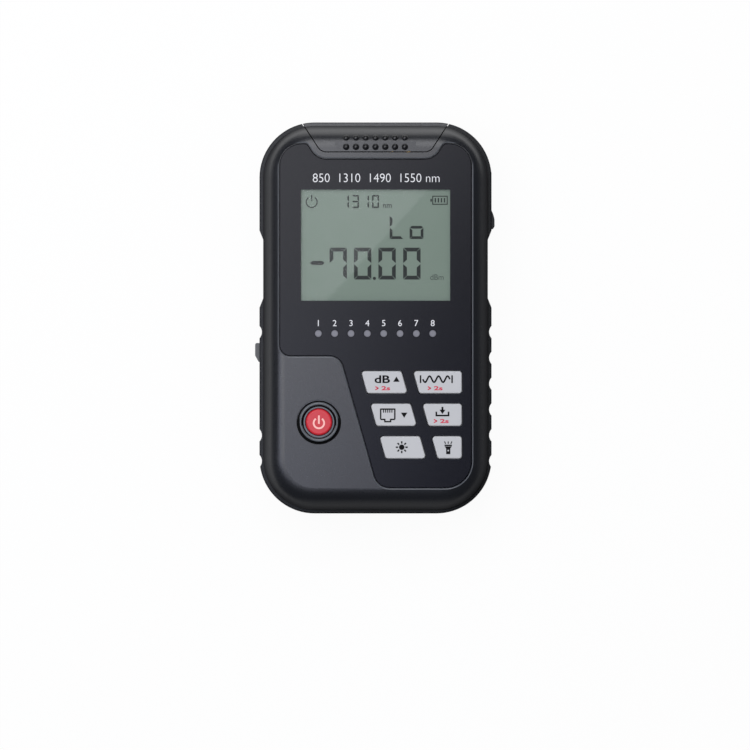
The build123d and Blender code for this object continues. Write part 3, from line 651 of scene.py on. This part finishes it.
@dataclass(frozen=True)
class DigitRow:
    """One row of seven-bar digits on the display, in mm. Gaps and cuts are shares of the stroke."""

    text: str
    left: float
    bottom: float
    width: float
    height: float
    pitch: float
    stroke: float
    rim_gap: float = 0.13
    rim_cut: float = 0.9
    middle_gap: float = 0.16
    middle_taper: float = 0.62
    middle_point: float = 0.05

    def draw(self, run: PrintRun) -> None:
        """Add each lit bar: mitred round the rim of the digit, pointed across its middle.

        Args:
            run: The ink that gets the bars.
        """
        size = np.array([self.width, self.height])
        for place, letter in enumerate(self.text):
            origin = np.array([self.left + place * self.pitch, self.bottom])
            for segment in GLYPHS.get(letter, ()):
                start, end = (origin + size * np.array(end_share) for end_share in segment.value)
                if segment is Segment.MIDDLE:
                    run.stroke(*self.pointed(start, end))
                else:
                    run.prism(self.mitred(start, end, origin + size / 2))

    def mitred(self, start: np.ndarray, end: np.ndarray, middle: np.ndarray) -> np.ndarray:
        """Give the four corners of a rim bar: long on the outside, cut at 45 degrees to the inside.

        Args:
            start: One end of the bar's outer edge.
            end: The other end.
            middle: Middle of the digit.

        Returns:
            The corners, in order.
        """
        along = (end - start) / np.linalg.norm(end - start)
        inward = np.array([-along[1], along[0]])
        inward = inward * np.sign(inward @ (middle - start))
        gap, cut = self.rim_gap * self.stroke, self.rim_cut * self.stroke
        return np.array(
            [
                start + gap * along,
                end - gap * along,
                end - (gap + cut) * along + self.stroke * inward,
                start + (gap + cut) * along + self.stroke * inward,
            ]
        )

    def pointed(self, start: np.ndarray, end: np.ndarray) -> tuple[np.ndarray, np.ndarray]:
        """Give the stations and widths of one bar: full in the middle, a point at each end.

        Args:
            start: One end of the bar's axis.
            end: The other end.

        Returns:
            Four stations along the axis and the width at each.
        """
        length = np.linalg.norm(end - start)
        gap, taper = self.middle_gap * self.stroke, self.middle_taper * self.stroke
        along = np.array([gap, gap + taper, length - gap - taper, length - gap]) / length
        path = start + along[:, None] * (end - start)
        return path, self.stroke * np.array([self.middle_point, 1.0, 1.0, self.middle_point])


@dataclass(frozen=True)
class Lettering:
    """One short line of letters, in mm."""

    text: str
    height: float
    centre: Spot
    width: float | None = None
    bold: float = 0.0

    def draw(self, run: PrintRun) -> None:
        """Set the line in an ink."""
        run.letters(self.text, self.height, self.centre, self.width, self.bold)


@dataclass(frozen=True)
class PowerSign:
    """An open ring with an upright bar in its gap, in mm. The bar's ends count from the centre."""

    centre: Spot
    radius: float
    stroke: float
    ring_angles: tuple[float, float]
    bar_ends: tuple[float, float]
    stations: int = 33

    def draw(self, run: PrintRun) -> None:
        """Add the ring and the bar.

        Args:
            run: The ink that gets them.
        """
        x, y = self.centre
        run.stroke(arc(self.centre, self.radius, *self.ring_angles, self.stations), self.stroke)
        run.stroke(line((x, y + self.bar_ends[0]), (x, y + self.bar_ends[1])), self.stroke)


@dataclass(frozen=True)
class BatterySign:
    """An outline with a nub on its left and bars inside, in mm."""

    left: float = 17.8
    right: float = 22.3
    low: float = 35.3
    high: float = 37.8
    stroke: float = 0.3
    nub_offset: float = 0.5
    nub_ends: tuple[float, float] = (36.1, 37.0)
    nub_width: float = 0.45
    bar_count: int = 4
    bar_start: float = 0.8
    bar_pitch: float = 0.95
    bar_width: float = 0.42
    bar_margin: float = 0.55

    def draw(self, run: PrintRun) -> None:
        """Add the outline, the nub and the bars.

        Args:
            run: The ink that gets them.
        """
        half = self.stroke / 2
        for y in (self.low, self.high):
            run.stroke(line((self.left, y), (self.right, y)), self.stroke)
        for x in (self.left, self.right):
            run.stroke(line((x, self.low - half), (x, self.high + half)), self.stroke)
        x = self.left - self.nub_offset
        run.stroke(line((x, self.nub_ends[0]), (x, self.nub_ends[1])), self.nub_width)
        foot, head = self.low + self.bar_margin, self.high - self.bar_margin
        for step in range(self.bar_count):
            x = self.left + self.bar_start + step * self.bar_pitch
            run.stroke(line((x, foot), (x, head)), self.bar_width)


@dataclass
class Display:
    """The liquid-crystal panel's lit marks and the clear window over it, in mm."""

    level: float = 28.2
    window_low: float = 28.34
    window_edge: float = 0.12
    readings: tuple[DigitRow, ...] = (
        DigitRow("70", -14.3, 11.9, 5.4, 9.9, 7.6, 1.18),
        DigitRow("00", 0.9, 11.9, 5.4, 9.9, 7.7, 1.18),
        DigitRow("-", -20.6, 12.1, 5.0, 9.9, 7.6, 1.3),
        DigitRow("Lo", 4.4, 24.5, 4.3, 7.3, 6.2, 0.86),
        DigitRow("1310", -10.45, 34.1, 2.2, 4.1, 3.12, 0.5),
    )
    point: Spot = (-0.35, 12.25)
    point_radius: float = 0.5
    units: tuple[Lettering, ...] = (
        Lettering("nm", 1.2, (3.7, 34.75), 2.7, 0.01),
        Lettering("dBm", 1.7, (19.1, 12.65), 4.1, -0.012),
    )
    power: PowerSign = PowerSign((-19.85, 36.0), 1.7, 0.36, (125, 415), (0.3, 2.2))
    battery: BatterySign = BatterySign()

    def build(self, palette: Palette) -> None:
        """Draw the marks on the panel and set the window in its frame.

        Args:
            palette: Where the materials come from.
        """
        run = PrintRun(self.level)
        for row in self.readings:
            row.draw(run)
        run.disc(self.point, self.point_radius)
        for mark in (*self.units, self.power, self.battery):
            mark.draw(run)
        run.finish("display_segments", CRYSTAL, "housing", palette)
        self.window(palette)

    def window(self, palette: Palette) -> None:
        """Set the window: a flat bar over the panel, as wide and as long as its node, with broken edges.

        Args:
            palette: Where the material comes from.
        """
        low, high = (np.array(corner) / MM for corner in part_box("display_window"))
        x = (low[0] + high[0]) / 2
        plate = bar(line((x, low[1]), (x, high[1])), high[0] - low[0], self.window_low, high[2])
        piece = place_piece("window_plate", surface_mesh("window_plate", *plate), WINDOW, "housing", palette)
        edge = piece.modifiers.new("broken_edge", "BEVEL")
        edge.width, edge.segments = self.window_edge * MM, 2
        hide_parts("display_window")


@dataclass
class FacePrint:
    """White print on the overlay: wavelength scale and lamp numbers, in mm."""

    level: float = 29.2
    lamp_pitch: float = 5.08
    lamp_count: int = 8
    number_y: float = -1.66
    number_height: float = 1.9
    scale: Lettering = Lettering("850  1310  1490  1550 nm", 2.7, (0.2, 43.5), 39.4, -0.012)

    def build(self, palette: Palette) -> None:
        """Print the scale line and one number over each lamp.

        Args:
            palette: Where the materials come from.
        """
        run = PrintRun(self.level)
        self.scale.draw(run)
        for lamp in range(self.lamp_count):
            x = (lamp - (self.lamp_count - 1) / 2) * self.lamp_pitch
            run.letters(str(lamp + 1), self.number_height, (x, self.number_y))
        run.finish("overlay_print", WHITE_INK, "housing", palette)


@dataclass
class PowerMark:
    """The sign on the red button and the black painted shade in the ring round it, in mm.

    Each channel is a radius and a width. The crown is the ring's half-round top, and each
    flank is the angle on it where the painted shade begins and ends, in degrees up from its outer side.
    """

    level: float = 30.3
    sign: PowerSign = PowerSign((-17.6, -32.73), 1.63, 0.55, (126, 414), (-0.25, 2.35), 49)
    centre: Spot = (-17.6, -32.6)
    spokes: int = 96
    channel_level: float = 29.2
    channels: tuple[tuple[float, float], ...] = ((6.55, 0.66), (4.975, 0.42))
    crown_reach: float = 5.7
    crown_level: float = 30.0
    crown_radius: float = 0.5
    flanks: tuple[tuple[float, float], ...] = ((0.0, 60.0), (118.0, 180.0))

    def build(self, palette: Palette) -> None:
        """Print the sign, and lay black painted shade in the two channels round it and on the flanks of the
        crown.

        Args:
            palette: Where the materials come from.
        """
        run = PrintRun(self.level)
        self.sign.draw(run)
        run.finish("power_mark", PINK_INK, "power_button", palette)
        # Black painted shade in the channels and on the crown's flanks, where shade falls.
        run = PrintRun(self.channel_level)
        for radius, width in self.channels:
            run.stroke(arc(self.centre, radius, 0, 360, self.spokes + 1)[:-1], width, True)
        for start, end in self.flanks:
            run.shape(*self.flank_shade(start, end))
        run.finish("ring_channel_shade", CHANNEL_SHADE, "housing", palette)

    def flank_shade(self, start: float, end: float, stations: int = 7) -> Shape:
        """Lay painted shade on one flank of the ring's round crown, with a strip that goes once round the
        ring.

        The strip's section follows the crown from one angle to the other, a hair over its
        surface, and comes back under it. At turn q the section's point at reach r and height z
        lies at the ring's centre plus r times (cos q, sin q), at height z.

        Args:
            start: Angle on the crown where the painted shade begins, in degrees.
            end: Angle where it ends.
            stations: Points along the crown.

        Returns:
            The corners and the four-sided faces.
        """
        crown = (self.crown_reach, self.crown_level)
        over = arc(crown, self.crown_radius + PRINT_THICKNESS, start, end, stations)
        under = arc(crown, self.crown_radius - PRINT_THICKNESS, end, start, stations)
        reach, height = np.vstack([over, under]).T
        turn = np.linspace(0, 2 * math.pi, self.spokes, endpoint=False)[:, None]
        x, y = self.centre
        corners = np.stack(
            np.broadcast_arrays(x + reach * np.cos(turn), y + reach * np.sin(turn), height), -1
        ).reshape(-1, 3)
        return corners, joined(self.spokes, 2 * stations, True)


@dataclass
class KeyPrint:
    """Plain signs on the six keys, in mm."""

    level: float = 29.9
    arrow_width: float = 2.0
    arrow_height: float = 1.6
    decibel: Lettering = Lettering("dB", 2.4, (2.1, -19.1), 4.8, 0.025)
    up_tip: Spot = (6.5, -18.3)
    down_tip: Spot = (8.9, -31.1)
    wave_centre: Spot = (18.9, -19.1)
    socket_left: float = 1.6
    socket_right: float = 6.0
    socket_low: float = -31.6
    socket_high: float = -28.4
    tray_centre: Spot = (20.8, -30.4)
    sun_centre: Spot = (8.15, -40.25)
    torch_centre: Spot = (22.6, -40.3)
    hold_spots: tuple[tuple[str, Spot], ...] = (
        ("key_reference", (2.6, -21.9)),
        ("key_wavelength", (18.9, -21.9)),
        ("key_store", (20.8, -32.1)),
    )
    chevron: tuple[Spot, ...] = ((-0.45, 0.5), (0.4, 0.04), (0.45, 0.0), (0.4, -0.04), (-0.45, -0.5))
    chevron_offset: float = -2.2
    chevron_stroke: float = 0.34
    hold_text_offset: float = 0.6

    def build(self, palette: Palette) -> None:
        """Print each key's sign in black, and the hold-time marks in red.

        Args:
            palette: Where the materials come from.
        """
        signs = {
            "key_reference": self.reference,
            "key_wavelength": self.wavelength,
            "key_cable_test": self.cable_test,
            "key_store": self.store,
            "key_backlight": self.backlight,
            "key_torch": self.torch,
        }
        for name, draw in signs.items():
            run = PrintRun(self.level)
            draw(run)
            run.finish(f"{name}_mark", BLACK_INK, name, palette)
        for name, (x, y) in self.hold_spots:
            run = PrintRun(self.level)
            run.stroke(np.array(self.chevron) + np.array([x + self.chevron_offset, y]), self.chevron_stroke)
            Lettering("2s", 1.3, (x + self.hold_text_offset, y), 2.7, 0.03).draw(run)
            run.finish(f"{name}_hold_mark", RED_INK, name, palette)

    def reference(self, run: PrintRun) -> None:
        """Add a level sign and an arrow that points up.

        Args:
            run: The ink that gets them.
        """
        self.decibel.draw(run)
        x, y = self.up_tip
        run.wedge(self.up_tip, (x, y - self.arrow_height), self.arrow_width)

    def wavelength(self, run: PrintRun) -> None:
        """Add a wave of three periods with a measure line at each end.

        Args:
            run: The ink that gets them.
        """
        half, swing, periods, stroke = 4.2, 0.95, 3, 0.52
        end, end_half, end_stroke = 4.9, 1.2, 0.46
        x, y = self.wave_centre
        along = np.linspace(-half, half, 73)
        run.stroke(np.stack([x + along, y + swing * np.sin(along * periods * math.pi / half)], 1), stroke)
        for side in (-end, end):
            run.stroke(line((x + side, y - end_half), (x + side, y + end_half)), end_stroke)

    def cable_test(self, run: PrintRun) -> None:
        """Add an eight-way socket sign and an arrow that points down.

        Args:
            run: The ink that gets them.
        """
        shoulder, tab, stroke, lap = 1.3, 0.7, 0.44, 0.18
        pins, pin_start, pin_pitch, pin_length, pin_width = 5, 0.9, 0.65, 1.1, 0.32
        left, right, low, high = self.socket_left, self.socket_right, self.socket_low, self.socket_high
        for start, end in (
            ((left, high), (right, high)),
            ((left, high + lap), (left, low)),
            ((right, high + lap), (right, low)),
            ((left, low), (left + shoulder, low)),
            ((right - shoulder, low), (right, low)),
            ((left + shoulder, low + lap), (left + shoulder, low - tab)),
            ((right - shoulder, low + lap), (right - shoulder, low - tab)),
            ((left + shoulder - lap, low - tab), (right - shoulder + lap, low - tab)),
        ):
            run.stroke(line(start, end), stroke)
        for pin in range(pins):
            x = left + pin_start + pin * pin_pitch
            run.stroke(line((x, high), (x, high - pin_length)), pin_width)
        x, y = self.down_tip
        run.wedge(self.down_tip, (x, y + self.arrow_height), self.arrow_width)

    def store(self, run: PrintRun) -> None:
        """Add a tray with an arrow that goes down into it.

        Args:
            run: The ink that gets them.
        """
        half, wall, wall_foot, wall_top, stroke = 2.0, 1.9, -0.2, 1.2, 0.5
        shaft_top, shaft_foot, shaft_width = 2.7, 1.6, 0.6
        tip, head, head_width = 0.5, 1.8, 1.8
        x, y = self.tray_centre
        run.stroke(line((x - half, y), (x + half, y)), stroke)
        for side in (-wall, wall):
            run.stroke(line((x + side, y + wall_foot), (x + side, y + wall_top)), stroke)
        run.stroke(line((x, y + shaft_top), (x, y + shaft_foot)), shaft_width)
        run.wedge((x, y + tip), (x, y + head), head_width)

    def backlight(self, run: PrintRun) -> None:
        """Add a sun: a disc with eight rays.

        Args:
            run: The ink that gets it.
        """
        radius, rays, ray_start, ray_end, ray_width = 0.85, 8, 1.12, 1.85, 0.46
        run.disc(self.sun_centre, radius)
        for angle in np.arange(rays) * 2 * math.pi / rays:
            way = np.array([math.cos(angle), math.sin(angle)])
            run.stroke(self.sun_centre + np.array([ray_start, ray_end])[:, None] * way, ray_width)

    def torch(self, run: PrintRun) -> None:
        """Add a torch: a flared head, a grip with a switch below it and three rays above.

        Args:
            run: The ink that gets it.
        """
        head_ends, head_width = (0.85, 0.4), 2.3
        flare_ends, flare_widths = (0.3, -0.35), (2.2, 1.3)
        grip_foot, grip_side, grip_stroke = -2.1, 0.44, 0.42
        switch_gap, switch_stroke = (-0.75, -1.2), 0.5
        ray_foot, ray_spread, ray_lean, ray_rise, ray_width = 1.1, 2.0, 0.9, 0.75, 0.3
        x, y = self.torch_centre
        run.stroke(line((x, y + head_ends[0]), (x, y + head_ends[1])), head_width)
        run.stroke(line((x, y + flare_ends[0]), (x, y + flare_ends[1])), np.array(flare_widths))
        for side in (-grip_side, grip_side):
            run.stroke(line((x + side, y + flare_ends[1]), (x + side, y + grip_foot)), grip_stroke)
        for high, low in ((flare_ends[1], switch_gap[0]), (switch_gap[1], grip_foot)):
            run.stroke(line((x, y + high), (x, y + low)), switch_stroke)
        for lean in (-0.4, 0.0, 0.4):
            foot = (x + ray_spread * lean, y + ray_foot)
            run.stroke(line(foot, (foot[0] + ray_lean * lean, foot[1] + ray_rise)), ray_width)


@dataclass
class GripDots:
    """Dark glossy caps on the dust cover's two rows of grip dots, in mm. Each row is a y and a z."""

    columns: int = 7
    pitch: float = 3.04
    rows: tuple[tuple[float, float], ...] = ((53.1, 29.09), (55.8, 28.737))
    radius: float = 1.22
    crown: float = 1.0
    span: float = 72.0
    rings: int = 9
    spokes: int = 24

    def build(self, palette: Palette) -> None:
        """Lay a spherical cap over every dot.

        A cap's point at polar angle p and turn q lies at the dot's centre plus the radius
        times (sin p cos q, sin p sin q, cos p), with p in degrees from the crown to the span.

        Args:
            palette: Where the material comes from.
        """
        polar = np.radians(np.linspace(self.crown, self.span, self.rings))[:, None]
        turn = np.linspace(0, 2 * math.pi, self.spokes, endpoint=False)[None, :]
        cap = self.radius * np.stack(
            np.broadcast_arrays(np.sin(polar) * np.cos(turn), np.sin(polar) * np.sin(turn), np.cos(polar)), -1
        ).reshape(-1, 3)
        x = (np.arange(self.columns) - (self.columns - 1) / 2) * self.pitch
        centres = np.array([(along, y, z) for y, z in self.rows for along in x])
        corners = (centres[:, None, :] + cap[None, :, :]).reshape(-1, 3)
        quads = joined(self.rings, self.spokes)
        starts = (np.arange(len(centres)) * len(cap))[:, None, None]
        faces = (quads[None, :, :] + starts).reshape(-1, 4).tolist()
        faces += [(np.arange(self.spokes) + start).tolist() for start in starts.ravel()]
        mesh = surface_mesh("grip_dots", corners, faces, True)
        place_piece("grip_dots", mesh, DOT, "dust_cover", palette)


@dataclass
class PortThread:
    """Rolled thread on the nose of the detector port, in mm. Its flanks are shares of the pitch."""

    x: float = 10.6
    z: float = 19.6
    radius: float = 3.3
    start_y: float = 52.6
    end_y: float = 55.7
    pitch: float = 0.75
    height: float = 0.22
    steps: int = 36
    flanks: tuple[float, ...] = (-0.32, -0.14, 0.14, 0.32)
    sunk: float = 0.05
    fade_turns: float = 1 / 3
    least: float = 0.05

    def build(self, palette: Palette) -> None:
        """Carry a rounded ridge round the nose on a helix that fades in and out at its ends.

        The ridge's point at turn t and height share h lies at the radius plus h times the
        height, at angle 2 pi t, and at y equal to the start plus t pitches plus the ridge's
        own half width to that side.

        Args:
            palette: Where the material comes from.
        """
        turns = (self.end_y - self.start_y) / self.pitch
        t = np.linspace(0, turns, int(turns * self.steps) + 1)
        fade = np.clip(np.minimum(t, turns - t) / self.fade_turns, self.least, 1)[:, None]
        across = np.array(self.flanks) * self.pitch
        rise = np.array([-self.sunk, self.height, self.height, -self.sunk])
        reach = self.radius + np.where(rise > 0, rise * fade, rise)
        angle = (2 * math.pi * t)[:, None]
        corners = np.stack(
            [
                self.x + reach * np.cos(angle),
                self.start_y + (t * self.pitch)[:, None] + across,
                self.z + reach * np.sin(angle),
            ],
            -1,
        )
        faces = joined(len(t), 4)[:, ::-1]
        last = 4 * len(t)
        faces = np.vstack([faces, [[0, 3, 2, 1], [last - 4, last - 3, last - 2, last - 1]]])
        mesh = surface_mesh("detector_thread", corners.reshape(-1, 3), faces)
        place_piece("detector_thread", mesh, BRASS, "housing", palette)


@dataclass
class Studio:
    """White floor, a slanted softbox and a small one, a low light on the left and the camera.

    Lengths are in metres, powers in watts and angles in degrees. Each rim level is an axis,
    a side of it and the glow that gloss sees there. A reach says where that glow begins and
    where it is full: along the floor, or as the part of a way out to the world.
    """

    centre: Spot = (-0.16 * MM, -17.8 * MM)
    lens_mm: float = 400.0
    sensor_mm: float = 36.0
    distance: float = 2.62
    farthest: float = 50.0
    softbox_height: float = 0.55
    softbox_slant: float = 47.6
    softbox_edge: float = 0.0202
    softbox_shift: float = 0.105
    softbox_size: tuple[float, float] = (0.55, 0.42)
    softbox_power: float = 2.38
    softbox_colour: str = "#f9faff"
    low_softbox_spot: Spot = (-0.18, -0.0475)
    low_softbox_size: tuple[float, float] = (0.36, 0.105)
    low_softbox_power: float = 0.4
    low_softbox_colour: str = "#dbe1ff"
    side_place: Place = (-0.7, 0.0, 0.08)
    side_lean: float = -88.0
    side_size: tuple[float, float] = (0.12, 1.0)
    side_power: float = 0.24
    rim_levels: tuple[tuple[str, int, float], ...] = (
        ("X", -1, 0.55), ("X", 1, 0.2), ("Y", 1, 1.9), ("Y", -1, 0.3),
    )
    sky_reach: tuple[float, float] = (0.88, 0.99)
    sky_fill: float = 0.42
    floor_reach_x: tuple[float, float] = (0.046, 0.12)
    floor_reach_y: tuple[float, float] = (0.07, 0.15)
    floor_fill: float = 0.25
    floor_glow: float = 0.95
    floor_level: float = -0.0002
    floor_hub: float = 0.0005
    floor_radius: float = 12.0
    floor_spokes: int = 64

    def build(self) -> None:
        """Set the floor, the lights, the world and the camera."""
        self.floor()
        self.world()
        self.lights()
        camera = bpy.data.objects.new("camera", bpy.data.cameras.new("camera"))
        camera.data.lens = self.lens_mm
        camera.data.sensor_width = self.sensor_mm
        camera.data.clip_end = self.farthest
        camera.location = (*self.centre, self.distance)
        bpy.context.scene.collection.objects.link(camera)
        bpy.context.scene.camera = camera
        bpy.context.scene.view_settings.view_transform = "Standard"

    def lights(self) -> None:
        """Hang the two softboxes and the light on the left.

        The slanted softbox has one long edge near the axis of the camera, so that the edge
        shows as a diagonal in the display.
        """
        slant = math.radians(self.softbox_slant)
        along = np.array([math.cos(slant), math.sin(slant)])
        across = np.array([-math.sin(slant), math.cos(slant)])
        spot = across * (self.softbox_edge + self.softbox_size[1] / 2) + along * self.softbox_shift
        self.lamp(
            "softbox", (*spot, self.softbox_height), (0.0, 0.0, slant),
            self.softbox_size, self.softbox_power, self.softbox_colour,
        )
        self.lamp(
            "low_softbox", (*self.low_softbox_spot, self.softbox_height), (0.0, 0.0, 0.0),
            self.low_softbox_size, self.low_softbox_power, self.low_softbox_colour,
        )
        turn = (0.0, math.radians(self.side_lean), 0.0)
        self.lamp("left_light", self.side_place, turn, self.side_size, self.side_power)

    def lamp(
        self,
        name: str,
        place: Place,
        turn: Place,
        size: tuple[float, float],
        power: float,
        colour: str = "#ffffff",
    ) -> None:
        """Hang one rectangular light.

        Args:
            name: Name of the light.
            place: Where its middle is, in metres.
            turn: Its rotation, in radians.
            size: Its two sides, in metres.
            power: Its power, in watts.
            colour: Its colour.
        """
        data = bpy.data.lights.new(name, "AREA")
        data.color = linear(colour)[:3]
        data.shape = "RECTANGLE"
        data.size, data.size_y = size
        data.energy = power
        light = bpy.data.objects.new(name, data)
        light.location, light.rotation_euler = place, turn
        light.visible_camera = False
        bpy.context.scene.collection.objects.link(light)

    def seen_strength(
        self, tree: Tree, place: Socket, reach: dict[str, tuple[float, float]], fill: float
    ) -> Socket:
        """Give the glow of floor or world: white to the camera, a bright rim in gloss, else a fill.

        In gloss the glow grows from nothing at the near reach to its full level at the far
        reach, on each of four sides of its own level.

        Args:
            tree: The node tree that gets the nodes.
            place: Where a ray ends: a point of the floor, or a way out to the world.
            reach: Where the rim begins and where it is full, along each axis.
            fill: Glow for the rays of dull surfaces.

        Returns:
            The socket that carries the strength.
        """
        rays = add_node(tree, "ShaderNodeLightPath").outputs
        axes = add_node(tree, "ShaderNodeSeparateXYZ", {"Vector": place}).outputs
        rim: Value = 0.0
        for axis, side, level in self.rim_levels:
            near, far = reach[axis]
            rim = calc(tree, "MAXIMUM", rim, ramp(tree, axes[axis], (side * near, 0.0), (side * far, level)))
        in_gloss = calc(tree, "MULTIPLY", rim, rays["Is Glossy Ray"])
        seen = calc(tree, "MAXIMUM", rays["Is Camera Ray"], rays["Is Transmission Ray"])
        elsewhere = calc(tree, "MULTIPLY", rays["Is Diffuse Ray"], fill)
        return calc(tree, "MAXIMUM", calc(tree, "MAXIMUM", seen, in_gloss), elsewhere)

    def floor(self) -> None:
        """Lay a round white floor that keeps the object's soft shadow and glows round it in gloss."""
        count = self.floor_spokes
        rings = np.array([self.floor_hub, self.floor_radius])
        turn = np.linspace(0, 2 * math.pi, count + 1)[:-1]
        corners = np.stack(
            [
                np.outer(rings, np.cos(turn)),
                np.outer(rings, np.sin(turn)),
                np.full((2, count), self.floor_level),
            ],
            -1,
        ).reshape(-1, 3)
        k = np.arange(count)
        after = (k + 1) % count
        faces = [*np.stack([k, k + count, after + count, after], -1).tolist(), k.tolist()]
        mesh = bpy.data.meshes.new("floor")
        mesh.from_pydata(corners.tolist(), [], faces)
        material = bpy.data.materials.new("paper_white")
        material.use_nodes = True
        tree = material.node_tree
        tree.nodes.clear()
        paper = add_node(tree, "ShaderNodeBsdfDiffuse", {"Color": linear("#f3f3f3")})
        place = add_node(tree, "ShaderNodeTexCoord").outputs["Object"]
        reach = {"X": self.floor_reach_x, "Y": self.floor_reach_y}
        strength = self.seen_strength(tree, place, reach, self.floor_fill)
        glow = add_node(tree, "ShaderNodeEmission", {"Color": linear("#ffffff"), "Strength": strength})
        both = add_node(
            tree,
            "ShaderNodeMixShader",
            {0: self.floor_glow, 1: paper.outputs["BSDF"], 2: glow.outputs["Emission"]},
        )
        add_node(tree, "ShaderNodeOutputMaterial", {"Surface": both.outputs["Shader"]})
        mesh.materials.append(material)
        piece = bpy.data.objects.new("floor", mesh)
        bpy.context.scene.collection.objects.link(piece)

    def world(self) -> None:
        """Make the world white to the camera, a horizon that glows in gloss, and a soft fill elsewhere."""
        world = bpy.data.worlds.new("studio")
        bpy.context.scene.world = world
        world.use_nodes = True
        tree = world.node_tree
        tree.nodes.clear()
        way = add_node(tree, "ShaderNodeTexCoord").outputs["Generated"]
        strength = self.seen_strength(tree, way, {"X": self.sky_reach, "Y": self.sky_reach}, self.sky_fill)
        sky = add_node(tree, "ShaderNodeBackground", {"Color": linear("#ffffff"), "Strength": strength})
        add_node(tree, "ShaderNodeOutputWorld", {"Surface": sky.outputs["Background"]})


def main() -> None:
    """Dress the construction, add the prints and set the studio."""
    logging.basicConfig(level=logging.INFO, format="%(name)s: %(message)s")
    palette = Palette()
    palette.dress_nodes()
    for assembly in (Display(), FacePrint(), PowerMark(), KeyPrint(), GripDots(), PortThread()):
        assembly.build(palette)
    Studio().build()


if __name__ == "__main__":
    main()
